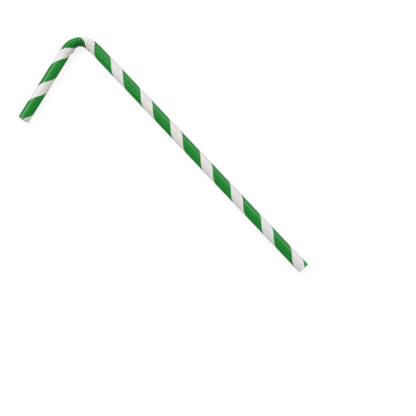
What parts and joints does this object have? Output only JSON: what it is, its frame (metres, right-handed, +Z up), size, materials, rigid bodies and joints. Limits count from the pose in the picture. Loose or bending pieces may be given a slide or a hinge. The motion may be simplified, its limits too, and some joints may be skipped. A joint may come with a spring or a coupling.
{
  "type": "paper drinking straw",
  "caption": "Bendable paper drinking straw: a thin wound tube with a corrugated elbow, white with a green spiral stripe, bent and lying on its side.",
  "frame": {"origin": "on the surface that the straw lies on, under the middle of its bounding box", "axes": "+X along the long leg, from the bend to its open end; +Z up, square to the plane of the bend; the short leg folds back towards -Y"},
  "size_m": [0.1694, 0.056, 0.006],
  "materials": {
    "striped_paper": "smooth satin paper, white with one green stripe wound right-handed"
  },
  "bodies": {
    "root": {"straw": "striped_paper"}
  },
  "joints": []
}
